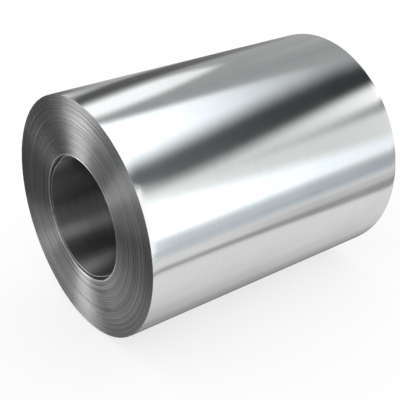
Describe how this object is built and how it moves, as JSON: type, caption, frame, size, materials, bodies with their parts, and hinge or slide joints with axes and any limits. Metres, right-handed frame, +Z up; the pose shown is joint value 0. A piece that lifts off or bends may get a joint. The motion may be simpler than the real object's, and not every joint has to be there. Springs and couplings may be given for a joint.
{
  "type": "steel coil",
  "caption": "Bare strip steel wound into a coil, lying on its side, with a round eye through the middle and its turns showing on both ends.",
  "frame": {"origin": "on the floor under the middle of the coil", "axes": "+Y along the eye, away from the end that the picture shows; +Z up; +X towards the side of the coil that the picture shows"},
  "size_m": [0.988, 1.252, 0.9876],
  "materials": {
    "steel": "bright cold rolled, smooth and mirror-like on the outer turn, with the cut edges of the turns as fine dark rings on the ends"
  },
  "bodies": {
    "root": {"steel_coil": "steel"}
  },
  "joints": []
}
